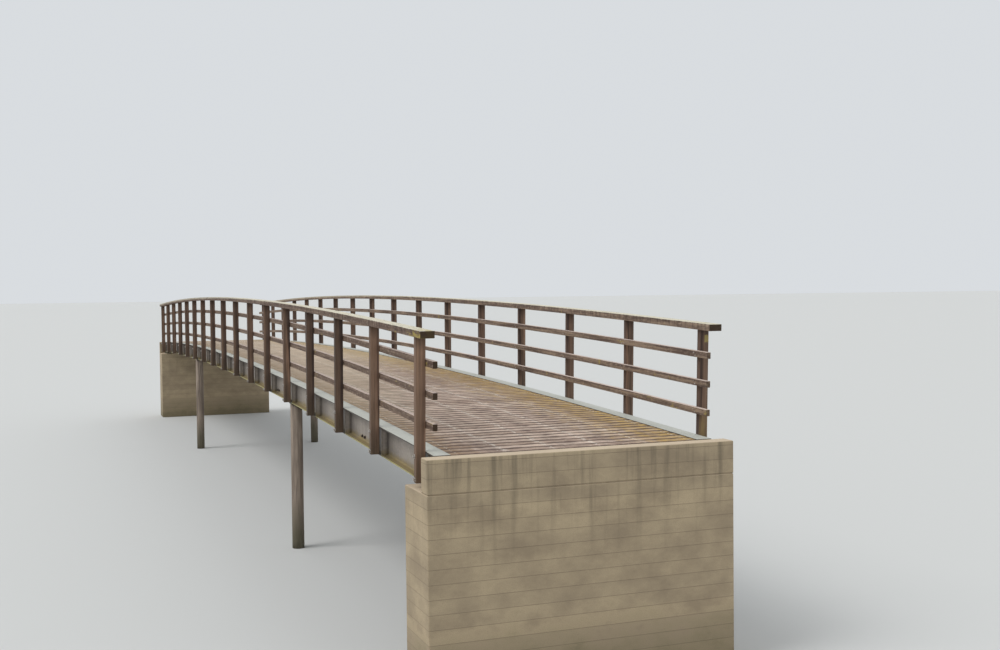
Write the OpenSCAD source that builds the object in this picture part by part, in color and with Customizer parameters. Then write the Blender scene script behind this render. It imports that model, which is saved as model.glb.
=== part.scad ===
// Footbridge on two pile piers: cambered steel edge girders, board deck, hardwood railings.
// X runs along the bridge, Y across it, Z up. The origin is under the middle, at the feet.
// Stations are lengths along the camber arc, counted from the middle of the bridge.

/* [Bridge] */
// Distance between neighbouring railing posts
bay = 1500; // [1460:10:1540]
// Number of bays between the end posts
bays = 16; // [14:2:18]
// Rise of the girders between the end posts and the middle
camber = 230; // [200:5:280]
// Height of the girder tops above the feet, at the end posts
end_height = 2050; // [1900:10:2300]
// Width between the outer edges of the girder flanges
frame_w = 2660; // [2560:10:2760]
// How far the girders and the deck run past the end posts
deck_over = 250; // [220:5:280]

/* [Steel frame] */
// Depth of the edge girders
girder_d = 280; // [260:5:300]
// Width of the girder flanges
flange_w = 150; // [140:5:160]
// Thickness of the girder flanges
flange_t = 11; // [8:1:14]
// Thickness of the girder webs
web_t = 8; // [6:1:10]
// Radius of the fillets between web and flanges
root_r = 15; // [8:1:18]
// Gap between two girders where they meet over a pier
girder_gap = 10; // [4:1:20]
// Depth of the channel cross beams
cross_d = 140; // [120:5:150]
// Width of the cross beams' flanges
cross_w = 60; // [50:1:70]
// Wall thickness of the cross beams
cross_t = 8; // [6:1:10]
// Rise of the cross beams' undersides over the girders' lower flanges
cross_rise = 9; // [6:1:14]
// Distance from a post's centre to the plate beside it and the cross beam in line with it
plate_off = 92; // [80:1:120]
// Thickness of the plates that stiffen the girders beside the posts
plate_t = 10; // [6:1:12]

/* [Deck] */
// Thickness of the deck boards
board_t = 45; // [35:1:50]
// Drop of the deck's surface below the girders' tops
deck_drop = 3; // [0:1:6]
// Gap between the deck's sides and the flanges
deck_gap = 5; // [3:1:12]
// Number of timber bearers under the boards
bearers = 5; // [4:1:6]
// Width of a bearer
bearer_w = 80; // [60:5:100]
// Clear space between the outer bearers and the flanges
bearer_gap = 30; // [10:5:60]
// Gap between two lengths of timber that meet end to end
butt_gap = 4; // [2:1:8]

/* [Railing] */
// Post size along the bridge
post_l = 60; // [50:1:80]
// Post size across the bridge
post_w = 90; // [70:1:110]
// Height of the posts above the girder tops
post_h = 980; // [900:10:1050]
// How far the posts stop short of the girders' undersides
post_short = 10; // [0:1:40]
// Width of the top rail
cap_w = 130; // [110:2:150]
// Thickness of the top rail
cap_t = 65; // [45:1:75]
// Height of the three lower rails
rail_h = 62; // [50:1:75]
// Thickness of the three lower rails
rail_t = 45; // [35:1:55]
// Height of the lowest rail's middle above the girder tops
lower_rail_z = 231; // [200:1:250]
// Height of the middle rail's middle above the girder tops
middle_rail_z = 494; // [440:1:530]
// Height of the upper rail's middle above the girder tops
upper_rail_z = 758; // [700:1:800]
// How far the rails run past the end posts' centres
rail_over = 220; // [150:5:240]
// Number of bays that one length of rail covers
rail_bays = 4; // [3:1:5]

/* [Piers] */
// Distance from the near end posts to the near pier
near_pier_run = 6000; // [5250:50:6750]
// Distance from the near end posts to the far pier
far_pier_run = 16800; // [16200:50:17400]
// Diameter of the piles
pile_dia = 160; // [140:5:200]
// Thickness of the head plates on the piles
head_t = 15; // [10:1:20]
// Length of the head plates along the bridge
head_l = 210; // [190:5:240]

/* [Abutments] */
// Length of the concrete abutments under the girder ends
seat_l = 480; // [400:10:560]
// Thickness of the back walls beyond the deck
wall_t = 170; // [140:5:200]
// Joint between the deck's end and the back wall
end_gap = 15; // [12:1:25]
// How far the abutments run past the posts' outer faces
abutment_over = 30; // [10:5:100]
// Thinnest part of the bearing pads
pad_t = 20; // [15:1:30]
// Length of the bearing pads along the bridge
pad_l = 200; // [150:5:240]
// Distance from the deck's end to the middle of the bearing pads
pad_off = 180; // [150:5:220]

/* [Hidden] */

// Side of the bridge, as the sign of Y, seen from the near end
left = -1;
right = 1;
// End of the bridge, as the sign of X
near = 1;
far = -1;

half_span = bay * bays / 2;
arc_r = (half_span * half_span + camber * camber) / (2 * camber);
arc_z = end_height + camber - arc_r;
// Facets of a whole circle of the arc: one of them is about as long as half a bay
arc_fn = round(4 * PI * arc_r / bay);

// Length that the two halves of a sweep share at the crown
crown_lap = 2;
// How far a shape that cuts passes the face that it cuts
cut_past = 1;
// Side of the square that clears a fillet, when it is cut across a plate's corner
corner_cut = 1.5 * root_r;

// Stations of the ends, the piers and the posts
deck_end = half_span + deck_over;
near_pier = half_span - near_pier_run;
far_pier = half_span - far_pier_run;
post_stations = [for (i = [0:bays]) half_span - i * bay];
plate_stations = [for (s = post_stations) s + plate_off];

// Distances from the middle to the girders' parts, across the bridge
frame_half = frame_w / 2;
girder_y = frame_half - flange_w / 2;
web_out = girder_y + web_t / 2;
web_in = girder_y - web_t / 2;
flange_in = frame_half - flange_w;

// Heights from the girders' tops
deck_under = -deck_drop - board_t;
cross_under = -girder_d + flange_t + cross_rise;
cross_top = cross_under + cross_d;
deck_half = flange_in - deck_gap;
bearer_reach = flange_in - bearer_gap - bearer_w / 2;

// Heights and places of the supports, in the part's own frame
wall_face = arc_r * sin(station_angle(deck_end)) + end_gap;
wall_back = wall_face + wall_t;
seat_face = wall_back - seat_l - wall_t;
abutment_half = frame_half + post_w + abutment_over;
seat_top = arc_z + (arc_r - girder_d) * cos(station_angle(deck_end)) - pad_t;
wall_top = arc_z + (arc_r - deck_drop) * cos(station_angle(deck_end));
pad_station = deck_end - pad_off;

STEEL = "#c3c8c6";
TIMBER = "#6b564b";
DECKING = "#a89488";
CONCRETE = "#c2a276";
PILING = "#7b706a";
RUBBER = "#3a3836";

function station_angle(s) = s / arc_r * 180 / PI;

// Puts a piece at a station, square to the arc, with its zero height at the girders' tops
module on_arc(s) {
    translate([0, 0, arc_z]) rotate([0, station_angle(s), 0]) translate([0, 0, arc_r]) children();
}

// Sweeps the girders' profile between two stations, in halves that share a little at the crown
module along_arc(s0, s1) {
    if (s0 < 0 && s1 > 0) {
        arc_sweep(s0, crown_lap) children();
        arc_sweep(0, s1) children();
    } else {
        arc_sweep(s0, s1) children();
    }
}

// Sweeps a profile along the arc from one station to another: heights first, then width
module arc_sweep(s0, s1) {
    sweep = station_angle(s1) - station_angle(s0);
    translate([0, 0, arc_z]) rotate([90, station_angle(s1) - 90, 0])
        rotate_extrude(angle = sweep, $fn = arc_fn) translate([arc_r, 0]) children();
}

// A rectangular bar along the arc, from its middle across, its width and its two heights
module arc_bar(s0, s1, y, w, z0, z1) {
    arc_sweep(s0, s1) translate([z0, -y - w / 2]) square([z1 - z0, w]);
}

// The same bar in two lengths if it crosses the crown, where they meet with a gap
module long_bar(s0, s1, y, w, z0, z1) {
    if (s0 < 0 && s1 > 0) {
        arc_bar(s0, -butt_gap / 2, y, w, z0, z1);
        arc_bar(butt_gap / 2, s1, y, w, z0, z1);
    } else {
        arc_bar(s0, s1, y, w, z0, z1);
    }
}

// The girder's profile: heights lie along the first axis, the width along the second
module girder_profile() {
    inner_d = girder_d - 2 * flange_t;
    difference() {
        translate([-girder_d, -flange_w / 2]) square([girder_d, flange_w]);
        for (s = [-1, 1]) girder_recess(inner_d, s);
    }
}

// The hollow of the girder's profile on one side of the web, with its two fillets
module girder_recess(inner_d, s) {
    recess_w = flange_w / 2 - web_t / 2;
    translate([-girder_d + flange_t, s * web_t / 2]) mirror([0, s < 0 ? 1 : 0]) {
        translate([root_r, 0]) square([inner_d - 2 * root_r, recess_w + cut_past]);
        translate([0, root_r]) square([inner_d, recess_w - root_r + cut_past]);
        for (z = [root_r, inner_d - root_r]) translate([z, root_r]) circle(r = root_r, $fn = 32);
    }
}

module girder(side, s0, s1) {
    color(STEEL) along_arc(s0, s1) translate([0, -side * girder_y]) girder_profile();
}

// A channel with its web upright, across the bridge between the two girders' webs
module cross_beam(s) {
    on_arc(s) translate([-cross_w / 2, web_in, cross_under]) rotate([90, 0, 0])
        linear_extrude(2 * web_in) difference() {
            square([cross_w, cross_d]);
            translate([cross_t, cross_t]) square([cross_w, cross_d - 2 * cross_t]);
        }
}

// The cross beams whose stations lie between two limits
module cross_beams(s0, s1) {
    color(STEEL) for (s = plate_stations) if (s > s0 && s < s1) cross_beam(s);
}

// Upright plates in the girder's outer recess, one beside each post
module post_plates(side) {
    plate_h = girder_d - 2 * flange_t;
    plate_w = frame_half - web_out;
    color(STEEL) for (s = plate_stations)
        on_arc(s) translate([-plate_t / 2, side > 0 ? web_out : -frame_half, -girder_d + flange_t])
            difference() {
                cube([plate_t, plate_w, plate_h]);
                for (z = [0, plate_h]) plate_corner(side, plate_w, z);
            }
}

// The corner that a plate leaves clear of the girder's fillet
module plate_corner(side, plate_w, z) {
    translate([plate_t / 2, side > 0 ? 0 : plate_w, z])
        rotate([45, 0, 0]) cube([plate_t + 2 * cut_past, corner_cut, corner_cut], center = true);
}

module bearer_set(s0, s1) {
    pitch = 2 * bearer_reach / (bearers - 1);
    color(TIMBER) for (i = [0:bearers - 1])
        long_bar(s0, s1, -bearer_reach + i * pitch, bearer_w, cross_top, deck_under);
}

module deck(s0, s1) {
    color(DECKING) long_bar(s0, s1, 0, 2 * deck_half, deck_under, -deck_drop);
}

module posts(side) {
    color(TIMBER) for (s = post_stations)
        on_arc(s) translate([-post_l / 2, side > 0 ? frame_half : -frame_half - post_w, post_short - girder_d])
            cube([post_l, post_w, post_h + girder_d - post_short]);
}

// Lengths of rail end to end, with the joints over the posts
module rail(side, y, w, z0, z1) {
    joints = [for (s = [half_span - rail_bays * bay:-rail_bays * bay:bay - half_span]) s];
    starts = concat([half_span + rail_over], [for (s = joints) s - butt_gap / 2]);
    ends = concat([for (s = joints) s + butt_gap / 2], [-half_span - rail_over]);
    color(TIMBER) for (i = [0:len(starts) - 1]) arc_bar(ends[i], starts[i], side * y, w, z0, z1);
}

module top_rail(side) {
    rail(side, frame_half + post_w / 2, cap_w, post_h, post_h + cap_t);
}

module lower_rail(side, z) {
    rail(side, frame_half - rail_t / 2, rail_t, z - rail_h / 2, z + rail_h / 2);
}

// A round pile under the girder, its top cut square to the arc
module pile(side, s) {
    x = arc_r * sin(station_angle(s));
    color(PILING) difference() {
        translate([x, side * girder_y, 0]) cylinder(d = pile_dia, h = end_height + camber, $fn = 48);
        on_arc(s) translate([0, side * girder_y, -head_t])
            cube([3 * pile_dia, 2 * pile_dia, 2 * girder_d], center = true);
    }
}

module pile_heads(s) {
    color(STEEL) for (side = [left, right])
        on_arc(s) translate([-head_l / 2, side * girder_y - flange_w / 2, -girder_d - head_t])
            cube([head_l, flange_w, head_t]);
}

module abutment(end) {
    length = wall_back - seat_face;
    color(CONCRETE) translate([end > 0 ? seat_face : -wall_back, -abutment_half, 0])
        cube([length, 2 * abutment_half, seat_top]);
}

module back_wall(end) {
    color(CONCRETE) translate([end > 0 ? wall_face : -wall_back, -abutment_half, seat_top])
        cube([wall_t, 2 * abutment_half, wall_top - seat_top]);
}

// Wedge pads between the level seat and the sloping girders
module bearing_pads(end) {
    color(RUBBER) for (side = [left, right]) difference() {
        translate([end * pad_station - pad_l / 2, side * girder_y - flange_w / 2, seat_top])
            cube([pad_l, flange_w, 3 * pad_t]);
        on_arc(end * pad_station) translate([-pad_l, side * girder_y - flange_w, -girder_d])
            cube([2 * pad_l, 2 * flange_w, girder_d]);
    }
}

girder(left, near_pier + girder_gap / 2, deck_end);  // girder_left_near
girder(left, far_pier + girder_gap / 2, near_pier - girder_gap / 2);  // girder_left_mid
girder(left, -deck_end, far_pier - girder_gap / 2);  // girder_left_far
girder(right, near_pier + girder_gap / 2, deck_end);  // girder_right_near
girder(right, far_pier + girder_gap / 2, near_pier - girder_gap / 2);  // girder_right_mid
girder(right, -deck_end, far_pier - girder_gap / 2);  // girder_right_far
cross_beams(near_pier, deck_end);  // cross_beams_near
cross_beams(far_pier, near_pier);  // cross_beams_mid
cross_beams(-deck_end, far_pier);  // cross_beams_far
post_plates(left);  // post_plates_left
post_plates(right);  // post_plates_right
bearer_set(near_pier + butt_gap / 2, deck_end);  // bearers_near
bearer_set(far_pier + butt_gap / 2, near_pier - butt_gap / 2);  // bearers_mid
bearer_set(-deck_end, far_pier - butt_gap / 2);  // bearers_far
deck(near_pier + butt_gap / 2, deck_end);  // deck_near
deck(far_pier + butt_gap / 2, near_pier - butt_gap / 2);  // deck_mid
deck(-deck_end, far_pier - butt_gap / 2);  // deck_far
posts(left);  // posts_left
posts(right);  // posts_right
top_rail(left);  // top_rail_left
top_rail(right);  // top_rail_right
lower_rail(left, upper_rail_z);  // upper_rail_left
lower_rail(right, upper_rail_z);  // upper_rail_right
lower_rail(left, middle_rail_z);  // middle_rail_left
lower_rail(right, middle_rail_z);  // middle_rail_right
lower_rail(left, lower_rail_z);  // lower_rail_left
lower_rail(right, lower_rail_z);  // lower_rail_right
pile(left, near_pier);  // pile_near_left
pile(right, near_pier);  // pile_near_right
pile(left, far_pier);  // pile_far_left
pile(right, far_pier);  // pile_far_right
pile_heads(near_pier);  // pile_heads_near
pile_heads(far_pier);  // pile_heads_far
abutment(near);  // abutment_near
abutment(far);  // abutment_far
back_wall(near);  // back_wall_near
back_wall(far);  // back_wall_far
bearing_pads(near);  // bearing_pads_near
bearing_pads(far);  // bearing_pads_far
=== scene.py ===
# Looks of a cambered timber footbridge: steel edge girders, board deck, hardwood railings.
# X runs along the bridge, Y across it, Z up, in metres. Stations are lengths along the camber arc.
import math
import random
from functools import partial

import bmesh
import bpy
import numpy as np
from mathutils import Matrix, Vector, noise


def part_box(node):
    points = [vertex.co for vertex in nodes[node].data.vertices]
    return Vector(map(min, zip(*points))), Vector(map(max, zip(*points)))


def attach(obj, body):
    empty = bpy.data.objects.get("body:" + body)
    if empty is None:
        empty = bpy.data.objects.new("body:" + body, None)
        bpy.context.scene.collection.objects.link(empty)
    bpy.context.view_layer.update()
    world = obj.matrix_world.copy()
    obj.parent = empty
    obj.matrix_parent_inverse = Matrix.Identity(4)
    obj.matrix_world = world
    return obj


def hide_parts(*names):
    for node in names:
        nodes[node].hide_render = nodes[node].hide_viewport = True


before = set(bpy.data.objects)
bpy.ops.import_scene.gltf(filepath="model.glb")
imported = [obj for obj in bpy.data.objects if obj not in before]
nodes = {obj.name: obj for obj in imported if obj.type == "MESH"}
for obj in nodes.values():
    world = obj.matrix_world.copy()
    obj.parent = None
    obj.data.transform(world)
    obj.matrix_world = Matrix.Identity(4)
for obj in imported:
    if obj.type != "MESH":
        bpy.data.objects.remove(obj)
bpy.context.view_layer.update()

# Bridge, as in the solids
BAY = 1.5
BAYS = 16
HALF_SPAN = BAY * BAYS / 2
CAMBER = 0.23
END_HEIGHT = 2.05
CROWN = END_HEIGHT + CAMBER
ARC_R = (HALF_SPAN**2 + CAMBER**2) / (2 * CAMBER)
ARC_Z = CROWN - ARC_R
DECK_END = HALF_SPAN + 0.25
NEAR_PIER = HALF_SPAN - 6.0
FAR_PIER = HALF_SPAN - 16.8

# Steel frame, as in the solids
GIRDER_D = 0.28
FLANGE_W = 0.15
FLANGE_T = 0.011
WEB_T = 0.008
ROOT_R = 0.015
FRAME_HALF = 1.33
GIRDER_Y = FRAME_HALF - FLANGE_W / 2
WEB_OUT = GIRDER_Y + WEB_T / 2
PLATE_OFF = 0.092
PLATE_T = 0.01
PLATE_SKIN = 0.0007
HEAD_T = 0.015
HEAD_L = 0.21

# Deck, as in the solids
DECK_DROP = 0.003
DECK_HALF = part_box("deck_mid")[1].y
BOARD_T = 0.045
BUTT_GAP = 0.004
BEARER_W = 0.08
BEARER_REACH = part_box("bearers_mid")[1].y - BEARER_W / 2
BEARER_TOP = -DECK_DROP - BOARD_T
BEARER_D = 0.072

# Railing, as in the solids
POST_L = 0.06
POST_W = 0.09
POST_H = 0.98
POST_FOOT = 0.27
CAP_W = 0.13
CAP_T = 0.065
RAIL_H = 0.062
RAIL_T = 0.045
RAIL_LEVELS = {"upper": 0.758, "middle": 0.494, "lower": 0.231}
RAIL_OVER = 0.22
RAIL_BAYS = 4
PILE_R = 0.08

# What the boards add. They lie a little out of line, a little low and a little skewed
BOARD_PITCH = 0.15
BOARD_GAP = 0.009
BOARD_ARRIS = 0.004
BOARD_SHORT = 0.008
BOARD_THIN = 0.001
BOARD_SHIFT = 0.003
BOARD_SINK = 0.0015
BOARD_SKEW = 0.0006
GROOVES = 6
GROOVE_W = 0.008
GROOVE_DEPTH = 0.004
GROOVE_CUTS = (-0.5, -0.25, 0.25, 0.5)

# What the planed timber adds: the cuts along each length, so that it can bend, and the spread and seeds of its waves
ARRIS = 0.004
PLANED = 0.001
WAVE_SLANT = 0.7
WAVE_APART = Vector((0, 9, 3))
BEARER_CUTS, BEARER_WAVE, BEARER_SEED = 16, 0.6, 7
RAIL_CUTS, RAIL_WAVE, RAIL_SEED = 24, 0.7, 5
POST_CUTS, POST_WAVE, POST_SEED = 6, 0.5, 3

# Screws in the deck and the rails. Taper, rim and depth of the drive are parts of a head's radius and height
SCREW_ROWS = 6
SCREW_ROW_PITCH = 2 * BEARER_REACH / (SCREW_ROWS - 1)
SCREW_OFFSET = 0.0325
SCREW_WANDER = 0.006
SCREW_SINK = 0.0022
SCREW_HEAD_H = 0.002
DECK_SCREW_R = 0.008
RAIL_SCREW_R = 0.007
RAIL_SCREW_OFFSET = 0.014
RAIL_SCREW_SLANT = 0.9
SCREW_SIDES = 8
SCREW_TAPER = 0.9
DRIVE_RIM = 0.5
DRIVE_DEPTH = 0.6

# Bolts of 16 mm in the posts, the webs and the head plates, and welds on the post plates. Chamfer and dome of a
# bolt's head are parts of its corner radius and its height
BOLT_ACROSS = 0.024
BOLT_HEAD_H = 0.013
BOLT_SIDES = 6
BOLT_CHAMFER = 0.15
BOLT_DOME = 0.1
WASHER_T = 0.003
WASHER_SIDES = 14
POST_WASHER_R = 0.019
WEB_WASHER_R = 0.017
BOLT_HEIGHTS = (-0.044, -0.237)
BOLT_SLIP = 0.004
BRACE_STATIONS = (9.642, 4.772, -4.772, -9.642)
BRACE_PITCH = 0.104
BRACE_HEIGHT = -0.23
WELD_R = 0.004
WELD_SIDES = 6
WELD_CLEAR = 1.2 * ROOT_R
WELD_CUTS = 12
WELD_SWELL = 0.15
WELD_RIPPLES = 90

# Piles and cast blocks
PILE_SIDES = 48
PILE_CUTS = 20
PILE_UNEVEN = 0.05
PILE_CELLS = (14, 14, 1.5)
CAST_ROUNDING = 0.01
CAST_CUTS = 29
CAST_CHIP = 0.003
CHIPS = 9
FORM_BOARD_H = 0.125

# How near a point has to be to count as lying on a face, and how far a copy's tone moves its pattern
TOUCH = 0.0005
TONE_SHIFT = (31.0, 47.0, 23.0)

SIDES = {"left": -1, "right": 1}
POST_STATIONS = [HALF_SPAN - i * BAY for i in range(BAYS + 1)]

rng = random.Random(4)


# Places along the arc


def arc_point(station, y, height):
    """Point at a station, a distance across and a height over the girders' tops."""
    angle = station / ARC_R
    reach = ARC_R + height
    return Vector((reach * math.sin(angle), y, ARC_Z + reach * math.cos(angle)))


def arc_place(station, y, height, turn=Matrix.Identity(4)):
    """Matrix that sets a piece square to the arc at that place."""
    return Matrix.Translation(arc_point(station, y, height)) @ Matrix.Rotation(station / ARC_R, 4, "Y") @ turn


# Making and joining pieces


def to_mesh(bm, name):
    bmesh.ops.recalc_face_normals(bm, faces=bm.faces)
    mesh = bpy.data.meshes.new(name)
    bm.to_mesh(mesh)
    bm.free()
    return mesh


def add_piece(name, mesh, material, slot, *replaced):
    piece = bpy.data.objects.new(name, mesh)
    bpy.context.scene.collection.objects.link(piece)
    mesh.materials.append(material)
    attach(piece, "root")
    if replaced:
        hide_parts(*replaced)


def joined(name, masters, places):
    """One mesh of many copies. For the materials, each copy keeps its own coordinates and has a tone from 0 to 1."""
    points, own, faces, tones = [], [], [], []
    count = 0
    for master, place in zip(masters, places):
        turn = np.array(place)
        co = np.array([v.co for v in master.vertices])
        points.append(co @ turn[:3, :3].T + turn[:3, 3])
        own.append(co)
        faces += [[v + count for v in p.vertices] for p in master.polygons]
        tones += [rng.random()] * len(master.polygons)
        count += len(co)
    mesh = bpy.data.meshes.new(name)
    mesh.from_pydata(np.concatenate(points).tolist(), [], faces)
    mesh.attributes.new("tone", "FLOAT", "FACE").data.foreach_set("value", tones)
    mesh.attributes.new("own", "FLOAT_VECTOR", "POINT").data.foreach_set("vector", np.concatenate(own).ravel())
    return mesh


def cut_across(bm, plane_co, plane_no, saw_off=False):
    """Cuts a mesh by a plane. Sawn off, the part past the plane goes and the cut is closed."""
    whole = bm.verts[:] + bm.edges[:] + bm.faces[:]
    cut = bmesh.ops.bisect_plane(bm, geom=whole, plane_co=plane_co, plane_no=plane_no, clear_outer=saw_off)
    if saw_off:
        rim = [part for part in cut["geom_cut"] if isinstance(part, bmesh.types.BMEdge)]
        bmesh.ops.edgeloop_fill(bm, edges=rim)


def ease_edges(bm, edges, offset, segments):
    bmesh.ops.bevel(
        bm, geom=edges, offset=offset, offset_type="OFFSET", affect="EDGES", segments=segments, profile=0.5, material=-1
    )


def timber(length, width, depth, cuts):
    """A planed bar along X about its middle, its arrises rounded, cut across so that it can bend."""
    bm = bmesh.new()
    bmesh.ops.create_cube(bm, size=1)
    bmesh.ops.scale(bm, vec=(length, width - 2 * PLANED, depth - 2 * PLANED), verts=bm.verts)
    ease_edges(bm, bm.edges[:], ARRIS, 2)
    for i in range(1, cuts):
        cut_across(bm, ((i / cuts - 0.5) * length, 0, 0), (1, 0, 0))
    return bm


def wander(bm, amount, spread, seed):
    """Moves points a little, as sawn and weathered wood moves."""
    for v in bm.verts:
        where = v.co / spread + Vector((seed, seed * WAVE_SLANT, 0))
        v.co += Vector((0, noise.noise(where), noise.noise(where + WAVE_APART))) * amount


def bend(mesh, station, y, height):
    """Lays a straight mesh along the arc from a station, across and up."""
    for v in mesh.vertices:
        v.co = arc_point(station + v.co.x, y + v.co.y, height + v.co.z)


def hex_bolt(across_flats, head_h, washer_r, washer_t):
    """A hexagon head with a chamfered top on a round washer, its seat at zero, standing up along Z."""
    bm = bmesh.new()
    corner_r = across_flats / math.sqrt(3)
    seat = 0
    for sides, r, height in ((WASHER_SIDES, washer_r, washer_t), (BOLT_SIDES, corner_r, head_h)):
        disc = bmesh.ops.create_cone(bm, cap_ends=True, segments=sides, radius1=r, radius2=r, depth=height)
        bmesh.ops.translate(bm, vec=(0, 0, seat + height / 2), verts=disc["verts"])
        seat += height
    top = [f for f in bm.faces if f.calc_center_median().z > seat - TOUCH]
    bmesh.ops.inset_region(bm, faces=top, thickness=corner_r * BOLT_CHAMFER, depth=head_h * BOLT_DOME)
    return to_mesh(bm, "hex_bolt")


def screw_head(radius, height):
    """A flat screw head with a dished drive."""
    bm = bmesh.new()
    top_r = radius * SCREW_TAPER
    head = bmesh.ops.create_cone(bm, cap_ends=True, segments=SCREW_SIDES, radius1=radius, radius2=top_r, depth=height)
    bmesh.ops.translate(bm, vec=(0, 0, height / 2), verts=head["verts"])
    top = [f for f in bm.faces if f.calc_center_median().z > height - TOUCH]
    bmesh.ops.inset_region(bm, faces=top, thickness=radius * DRIVE_RIM, depth=-height * DRIVE_DEPTH)
    return to_mesh(bm, "screw_head")


# Materials


def linear(hex_colour):
    """sRGB hex to the linear colour that nodes use."""
    parts = [int(hex_colour[i : i + 2], 16) / 255 for i in (1, 3, 5)]
    return tuple(c / 12.92 if c <= 0.04045 else ((c + 0.055) / 1.055) ** 2.4 for c in parts) + (1.0,)


def per_metre(*sizes_mm):
    """Cells to a metre along X, Y and Z, from their sizes in millimetres."""
    return tuple(1000 / size for size in sizes_mm)


def add_node(tree, kind, inputs=(), **settings):
    """Adds a shader node with its settings. Inputs go by name or in order, a node stands for its first output."""
    node = tree.nodes.new("ShaderNode" + kind)
    for key, value in settings.items():
        setattr(node, key, value)
    by_name = isinstance(inputs, dict)
    for key, value in inputs.items() if by_name else enumerate(inputs):
        socket = next(s for s in node.inputs if s.enabled and s.name == key) if by_name else node.inputs[key]
        if isinstance(value, bpy.types.Node):
            value = next(s for s in value.outputs if s.enabled)
        if isinstance(value, bpy.types.NodeSocket):
            tree.links.new(value, socket)
        else:
            socket.default_value = value
    return node


def new_material(name):
    """A material, the function that adds nodes to it, and its shader node."""
    material = bpy.data.materials.new(name)
    material.use_nodes = True
    tree = material.node_tree
    return material, partial(add_node, tree), tree.nodes["Principled BSDF"]


def stained(add, base, *stains):
    """Lays stains over a base colour, the first one lowest. A stain is its mask and its tint. Where a pattern
    makes the mask, the values between which it fades in and the most that it covers stand before the tint."""
    colour = linear(base) if isinstance(base, str) else base
    for mask, *fade, tint in stains:
        if fade:
            start, full, most = fade
            mask = add("MapRange", {"Value": mask, "From Min": start, "From Max": full, "To Max": most})
        tint = linear(tint) if isinstance(tint, str) else tint
        colour = add("Mix", {"Factor": mask, "A": colour, "B": tint}, data_type="RGBA")
    return colour


def finish_surface(add, shader, colour, roughness, relief):
    """Links the colour, the roughness, a pattern and its two ends, and the relief, a height and its depth in metres."""
    pattern, smoothest, roughest = roughness
    height, depth = relief
    rough = add("MapRange", {"Value": pattern, "To Min": smoothest, "To Max": roughest})
    bump = add("Bump", {"Height": height, "Distance": depth})
    links = shader.id_data.links
    links.new(colour.outputs[2], shader.inputs["Base Color"])
    links.new(rough.outputs[0], shader.inputs["Roughness"])
    links.new(bump.outputs[0], shader.inputs["Normal"])


def bridge_place(add):
    """Object coordinates with the camber taken out: station, distance across, height over the girders' tops."""
    point = add("SeparateXYZ", {"Vector": add("TexCoord").outputs["Object"]})
    x, y, z = point.outputs
    square = add("Math", [x, x], operation="MULTIPLY")
    drop = add("Math", [square, 2 * ARC_R], operation="DIVIDE")
    over_crown = add("Math", [z, CROWN], operation="SUBTRACT")
    height = add("Math", [over_crown, drop], operation="ADD")
    lever = add("Math", [x, height], operation="MULTIPLY")
    lean = add("Math", [lever, ARC_R], operation="DIVIDE")
    station = add("Math", [x, lean], operation="SUBTRACT")
    place = add("CombineXYZ", {"X": station, "Y": y, "Z": height})
    return place, station, y, height


def own_pattern(add, place):
    """The tone of a copy, and the place shifted by it, so that no two copies show the same grain."""
    tone = add("Attribute", attribute_name="tone").outputs["Fac"]
    shift = add("VectorMath", {"Vector": TONE_SHIFT, "Scale": tone}, operation="SCALE")
    return tone, add("VectorMath", [place, shift], operation="ADD")


def off_nearest(add, value, shift, pitch):
    """How far a shifted value lies from the nearest of lines that stand a pitch apart."""
    part = add("Math", [value, shift], operation="ADD")
    part = add("Math", [part, pitch], operation="DIVIDE")
    nearest = add("Math", [part], operation="ROUND")
    off = add("Math", [part, nearest], operation="SUBTRACT")
    return add("Math", [off, pitch], operation="MULTIPLY")


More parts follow.
